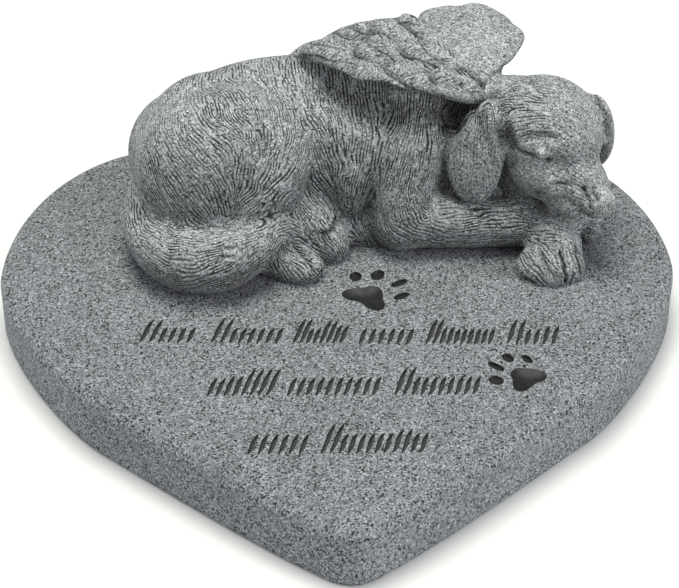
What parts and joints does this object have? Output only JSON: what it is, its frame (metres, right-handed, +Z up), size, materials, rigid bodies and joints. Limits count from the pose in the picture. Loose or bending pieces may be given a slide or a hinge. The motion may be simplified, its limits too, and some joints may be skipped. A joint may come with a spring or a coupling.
{
  "type": "pet memorial statue",
  "caption": "Heart-shaped memorial stone, cast in one piece, with a winged puppy asleep on top, pressed paw prints and rows of shallow pen strokes.",
  "frame": {"origin": "middle of the slab's underside", "axes": "+X to the right across the heart, from the puppy's rump to its head; +Y from the heart's tip to its notch; +Z up"},
  "size_m": [0.2, 0.18, 0.076],
  "materials": {
    "cast_stone": "matt grey cast stone, fine grain, dark paint in the pressed marks"
  },
  "bodies": {
    "root": {"memorial_stone": "cast_stone"}
  },
  "joints": []
}
